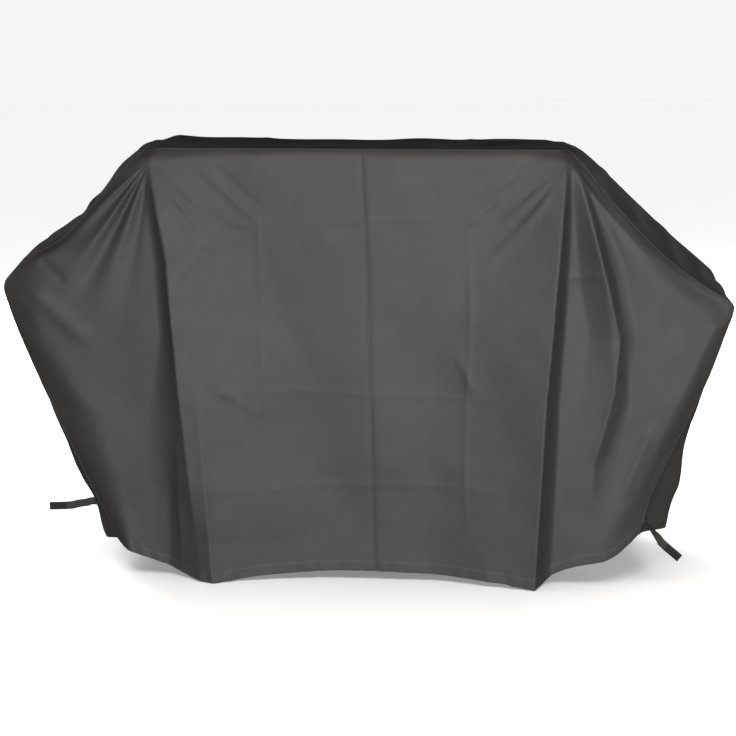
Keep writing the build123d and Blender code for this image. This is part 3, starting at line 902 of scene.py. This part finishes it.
def build_panels(end):
    """The halves of the front or rear panel, their hem and centre tape. Gives the top edge."""
    way = 1 if end == "front" else -1
    grid, folds = panel_grid(end)
    hem, body = split_hem(grid)
    normal = way * grid_normals(body)
    for side, stretch in (("left", slice(0, HALF + 1)), ("right", slice(HALF, None))):
        wear = FOLD_WEAR * folds[:, stretch]
        cloth(f"{end}_panel_{side}", f"{end}_cloth_{side}", body[:, stretch], way, wear)
    turned_hem(end, hem, way)
    centre = body[:, HALF - 2 : HALF + 3]
    tape_piece(f"{end}_centre_tape", f"{end}_centre_seam_tape", [centre], way)
    for column in (1, -2):
        seam_stitches.append((body[:, column], normal[:, column]))
    seam_stitches.append((body[-2, 1:-1], normal[-2, 1:-1]))
    for column in (HALF - 1, HALF + 1):
        centre_stitches.append((body[:, column], normal[:, column]))
    return grid[-1]


def build_side(side, seed):
    """The side panel and its hem below the shelf tip, and the shoulder panel above it."""
    way = 1 if side == "left" else -1
    front, rear = seams["front", side], seams["rear", side]
    lower = strip_grid(front[: BELOW + 1], rear[: BELOW + 1], way, side_bulge(side, seed))
    rise = ease(1 - np.linspace(0, 1, BELOW + 1) * 1.6)[:, None]
    lower[..., 2] += HEM_LIFT[side] * rise * np.sin(np.linspace(0, math.pi, DEPTH_STEPS + 1))
    for corner in ("front", "rear"):
        lower = settle(lower, f"{side}_{corner}_strap_patch")
    upper = strip_grid(front[BELOW:], rear[BELOW:], way, shoulder_bulge(seed + 1))
    hem, body = split_hem(lower)
    cloth(f"{side}_side_panel", f"{side}_side_cloth", body, -way)
    cloth(f"{side}_shoulder_panel", f"{side}_shoulder_cloth", upper, -way)
    turned_hem(side, hem, -way)
    joined[side] = [body[-5:, 4:-4], upper[-5:, 4:-4]]


def build_binding(end):
    """The bound seam, which runs up one side, over the hood and down the other side."""
    path = np.concatenate([seams[end, "left"], tops[end][1:-1], seams[end, "right"][::-1]])
    run = np.gradient(path, axis=0)
    facing = np.array([0, -1, 0]) if end == "front" else np.array([0, 1, 0])
    away = np.stack([-run[:, 2], 0 * run[:, 0], run[:, 0]], 1)
    away /= np.linalg.norm(away, axis=1, keepdims=True)
    outward = (away + facing) / math.sqrt(2)
    across = (away - facing) / math.sqrt(2)
    piece = rail_piece(f"{end}_binding", path, across, outward, *BINDING, binding_cloth)
    belongs(piece, "binding_tape", f"{end}_seam_binding")


tops = {end: build_panels(end) for end in ("front", "rear")}
for side, seed in (("left", 41), ("right", 47)):
    build_side(side, seed)
cloth("top_panel", "top_cloth", strip_grid(tops["front"], tops["rear"], 1, top_bulge), -1)
for side, way in (("right", 1), ("left", -1)):
    tape_piece(f"{side}_joining_tapes", "strip_joining_tapes", joined[side], way)
for end in ("front", "rear"):
    build_binding(end)

stitch_piece("seam_topstitching", seam_stitches)
stitch_piece("centre_topstitching", centre_stitches)
stitch_piece("hem_topstitching", hem_stitches)


# ---- Straps ----
SEWN = 0.015  # the stretch of a strap that is sewn to its patch
STRAP_WIDTH, WEBBING = 0.022, 0.0014  # width and thickness
STRIP_WIDTH, STRIP_THICK = 0.020, 0.0011  # of the hook and loop strips
STRIP_GAP = 0.0005  # how far a strip's middle stands off the webbing
PATCH_WIDTH, PATCH_HALF_LENGTH, PATCH_THICK = 0.028, 0.016, 0.0016
PATCH_SUNK = 0.0014  # how far a patch's middle lies behind the sewn webbing's
TACK_PLACES, TACK_HALF, TACK_PITCH = (-0.0052, 0.0052), 0.009, 0.0007  # the two bar tacks
TACK_STITCH = 0.0013  # half the width of a bar tack
BOX_HALF_LENGTH, BOX_HALF_WIDTH = 0.0036, 0.0085  # the crossed box between the bar tacks
STATION_REACH = 0.0045  # a station takes in the CAD strap's corners that are this near
# How far each strap's end hangs from where the CAD's strap ends
HANG = {
    "left_front": (0.010, -0.002, -0.016),
    "right_front": (-0.018, 0.0, -0.010),
    "left_rear": (0.0, 0.008, -0.006),
    "right_rear": (0.0, 0.008, -0.006),
}


def strap_stations(name):
    """A strap's centres and width directions, from its root to its end."""
    joint = next(j for j in frame["joints"] if j["child"] == f"{name}_strap")
    root, axis = np.array(joint["pos_m"]), np.array(joint["axis"], float)
    corners = np.unique(np.round(node_points(f"{name}_strap"), 5), axis=0)
    reach = np.linalg.norm(corners - root, axis=1)
    tip = corners[np.argsort(reach)[-4:]].mean(0)
    length = np.linalg.norm(tip - root)
    along = (tip - root) / length
    stations = (corners - root) @ along
    centres, widths = [], [axis]
    for station in np.linspace(length * 0.14, length, 7):
        ring = corners[np.abs(stations - station) < STATION_REACH]
        if len(ring) >= 4:
            across = np.linalg.svd(ring - ring.mean(0))[2][0]
            centres.append(ring.mean(0))
            widths.append(across * (np.sign(across @ widths[-1]) or 1))
    return root, axis, along, np.array(centres), np.array(widths[1:])


def patch_face(name):
    """The middle of a strap patch's outer face, and the way that it faces."""
    mesh = frame["nodes"][f"{name}_strap_patch"].data
    largest = max(mesh.polygons, key=lambda face: face.area)
    points = node_points(f"{name}_strap_patch")
    normal = np.array(largest.normal)
    normal *= math.copysign(1, normal[0] * points[:, 0].mean())
    middle = points.mean(0)
    return middle + normal * ((points - middle) @ normal).max(), normal


def slab(path, across, normal, width, thick):
    """Points round a flat band with rounded edges, one ring for each point of its path."""
    half, edge = width / 2, thick / 2
    outline = [(-half, 0), (-half + edge, edge), (-half * 0.5, edge), (0, edge), (half * 0.5, edge)]
    outline += [(half - edge, edge), (half, 0), (half - edge, -edge), (0, -edge)]
    outline += [(-half + edge, -edge)]
    return np.array([path + across * u + normal * v for u, v in outline])


def band_piece(name, loop, material):
    """A closed band from its rings, with capped ends."""
    sides, stations = loop.shape[:2]
    faces = [tuple(face) for face in grid_faces(sides, stations, closed=True)]
    faces.append(tuple(k * stations for k in range(sides)))
    faces.append(tuple(k * stations + stations - 1 for k in reversed(range(sides))))
    return make_piece(name, loop.reshape(-1, 3), faces, flat_lengths(loop), material)


def smooth_band(points, turns, phase):
    """A path through the points with a slight curl, and its width and face directions."""
    path = spline(points, 60)
    run = lengths_along(path)
    marks = [run[np.argmin(np.linalg.norm(path - point, axis=1))] for point in points]
    across = np.stack([np.interp(run, marks, np.array(turns)[:, i]) for i in range(3)], 1)
    tangent = np.gradient(path, axis=0)
    tangent /= np.linalg.norm(tangent, axis=1, keepdims=True)
    across -= tangent * (across * tangent).sum(1, keepdims=True)
    across /= np.linalg.norm(across, axis=1, keepdims=True)
    face = np.cross(tangent, across)
    curl = 0.0012 * np.sin(run * 60 + phase) * np.clip((run - 0.03) / 0.03, 0, 1)
    return path + face * curl[:, None], across, face


def build_strip(name, root, tip, tip_face, band):
    """The hook or loop strip, over the stretch of its strap that the CAD's tape covers."""
    path, across, face = band
    node = next(n for n in frame["nodes"] if n.startswith(name) and n.endswith("_tape"))
    kind = "hook" if "hook" in node else "loop"
    corners = node_points(node)
    span = np.linalg.norm(corners - root, axis=1)
    reach = np.linalg.norm(path - root, axis=1)
    held = np.flatnonzero((reach > span.min()) & (reach < span.max()))
    up = np.sign((corners.mean(0) - tip) @ tip_face) or 1
    lifted = path[held] + face[held] * up * (WEBBING / 2 + STRIP_GAP)
    loop = slab(lifted, across[held], face[held], STRIP_WIDTH, STRIP_THICK)
    strip = band_piece(f"{name}_{kind}_strip", loop, hook_face if kind == "hook" else loop_face)
    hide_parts(node)
    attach(strip, f"{name}_strap")


def build_patch(name, seat, normal, lead):
    """The patch behind a strap's sewn end, and the rows of stitches that hold them together."""
    side = np.cross(normal, lead)
    ends = [seat - lead * PATCH_HALF_LENGTH, seat + lead * PATCH_HALF_LENGTH]
    loop = slab(np.array(ends) - normal * PATCH_SUNK, side, normal, PATCH_WIDTH, PATCH_THICK)
    patch = band_piece(f"{name}_patch_cloth", loop, cover_cloth)
    belongs(patch, "strap_webbing", f"{name}_strap_patch")
    middle = seat - lead * SEWN * 0.5 + normal * WEBBING * 0.5
    for place in TACK_PLACES:
        for step in np.arange(-TACK_HALF, TACK_HALF, TACK_PITCH):
            stitch = middle + lead * place + side * step
            row = np.array([stitch - lead * TACK_STITCH, stitch + lead * TACK_STITCH])
            bar_rows.append((row, np.array([normal, normal])))
    signs = ((-1, -1), (1, -1), (1, 1), (-1, 1))
    corners = [middle + lead * u * BOX_HALF_LENGTH + side * v * BOX_HALF_WIDTH for u, v in signs]
    for a, b in ((0, 1), (1, 2), (2, 3), (3, 0), (0, 2), (1, 3)):
        box_rows.append((np.array([corners[a], corners[b]]), np.array([normal, normal])))


def build_strap(name):
    """A strap's webbing, sewn to its patch and bent at its root, with its strip and patch."""
    root, axis, along, centres, widths = strap_stations(name)
    seat, normal = patch_face(name)
    lead = np.cross(normal, axis)
    lead /= np.linalg.norm(lead)
    lead *= np.sign(lead @ along) or 1
    seat = seat + normal * WEBBING * 0.6
    hang = np.linspace(0.15, 1, len(centres))[:, None] * np.array(HANG[name])
    sewn = [seat - lead * SEWN * share for share in (1, 0.55, 0.1)]
    points = [*sewn, root + along * 0.009, *(centres + hang)]
    band = smooth_band(points, [axis] * 4 + [*widths], len(name))
    ribbon = band_piece(f"{name}_webbing", slab(*band, STRAP_WIDTH, WEBBING), webbing)
    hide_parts(f"{name}_strap")
    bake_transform(ribbon)
    build_strip(name, root, centres[-1], np.cross(along, widths[-1]), band)
    build_patch(name, seat, normal, lead)


bar_rows, box_rows = [], []
for name in HANG:
    build_strap(name)
stitch_piece("bar_tack_stitching", bar_rows, SHORT_STITCH, 0.0003, 0.0003, ["bar_tacks"])
stitch_piece("strap_box_stitching", box_rows, SHORT_STITCH, 0.0030, 0.0003)


# ---- Stage, light and camera ----
def stage_floor(height):
    """A wide pale floor just below the cover's hem."""
    size = 30
    mesh = bpy.data.meshes.new("floor")
    corners = [(u * size, v * size, height) for u, v in ((-1, -1), (1, -1), (1, 1), (-1, 1))]
    mesh.from_pydata(corners, [], [(0, 1, 2, 3)])
    material = bpy.data.materials.new("floor")
    material.use_nodes = True
    shader = material.node_tree.nodes["Principled BSDF"]
    set_inputs(shader, {"Base Color": (0.90, 0.90, 0.90, 1), "Roughness": 0.9})
    mesh.materials.append(material)
    floor = bpy.data.objects.new("floor", mesh)
    bpy.context.scene.collection.objects.link(floor)
    floor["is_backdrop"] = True
    return floor


def area_light(name, place, target, size, power, colour):
    """A square soft light that faces its target."""
    light = bpy.data.lights.new(name, "AREA")
    light.shape, light.size = "SQUARE", size
    light.energy, light.color = power, colour
    lamp = bpy.data.objects.new(name, light)
    lamp.location = place
    lamp.rotation_euler = (Vector(target) - Vector(place)).to_track_quat("-Z", "Y").to_euler()
    bpy.context.scene.collection.objects.link(lamp)
    return lamp


def floor_light(floor, strength):
    """A soft light from above that falls on the floor alone, so that the floor stays pale."""
    light = bpy.data.lights.new("floor_light", "SUN")
    light.energy = strength
    light.angle = math.radians(70)
    lamp = bpy.data.objects.new("floor_light", light)
    lit = bpy.data.collections.new("lit_floor")
    lit.objects.link(floor)
    lamp.light_linking.receiver_collection = lit
    bpy.context.scene.collection.objects.link(lamp)


def studio_world(horizon, rest):
    """A studio that is pale in a band round the horizon, and fades above and below it."""
    world = bpy.data.worlds.new("studio")
    world.use_nodes = True
    tree = world.node_tree
    place = tree.nodes.new("ShaderNodeTexCoord")
    split = tree.nodes.new("ShaderNodeSeparateXYZ")
    tree.links.new(place.outputs["Generated"], split.inputs[0])
    height = math_node(tree, "ABSOLUTE", split.outputs["Z"], 0.0)
    fade = {"From Min": 0.04, "From Max": 0.12, "To Min": horizon, "To Max": rest}
    tree.links.new(map_node(tree, height, fade), tree.nodes["Background"].inputs["Strength"])
    tree.nodes["Background"].inputs["Color"].default_value = (1, 1, 1, 1)
    bpy.context.scene.world = world


def set_camera():
    """A long lens at shoulder height, a little to the right of the middle."""
    camera = bpy.data.cameras.new("camera")
    camera.sensor_width = 36
    camera.lens = 75.2
    seen = bpy.data.objects.new("camera", camera)
    target = Vector((-0.010, 0.0, 0.45 * TOP_Z))
    turn = math.radians(4.17)
    reach = 4.20
    seen.location = (target.x + reach * math.sin(turn), -reach * math.cos(turn), 1.432)
    seen.rotation_euler = (target - seen.location).to_track_quat("-Z", "Y").to_euler()
    bpy.context.scene.collection.objects.link(seen)
    bpy.context.scene.camera = seen


floor = stage_floor(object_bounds()[0][2] - 0.001)
floor.visible_diffuse = False
floor.visible_glossy = False
area_light("key", (0.6, -4.6, 1.15), (0.0, -0.2, 0.62), 1.1, 236, (1.0, 0.962, 0.938))
for name, place, power in (
    ("back_left", (-3.0, 3.6, 1.3), 430),
    ("back_right", (2.6, 4.2, 0.8), 260),
):
    area_light(name, place, (0.0, 0.2, 0.6), 1.8, power, (1.0, 1.0, 1.0)).visible_glossy = False
floor_light(floor, 3.1)
studio_world(0.92, 0.06)
bpy.context.scene.view_settings.view_transform = "Standard"
set_camera()
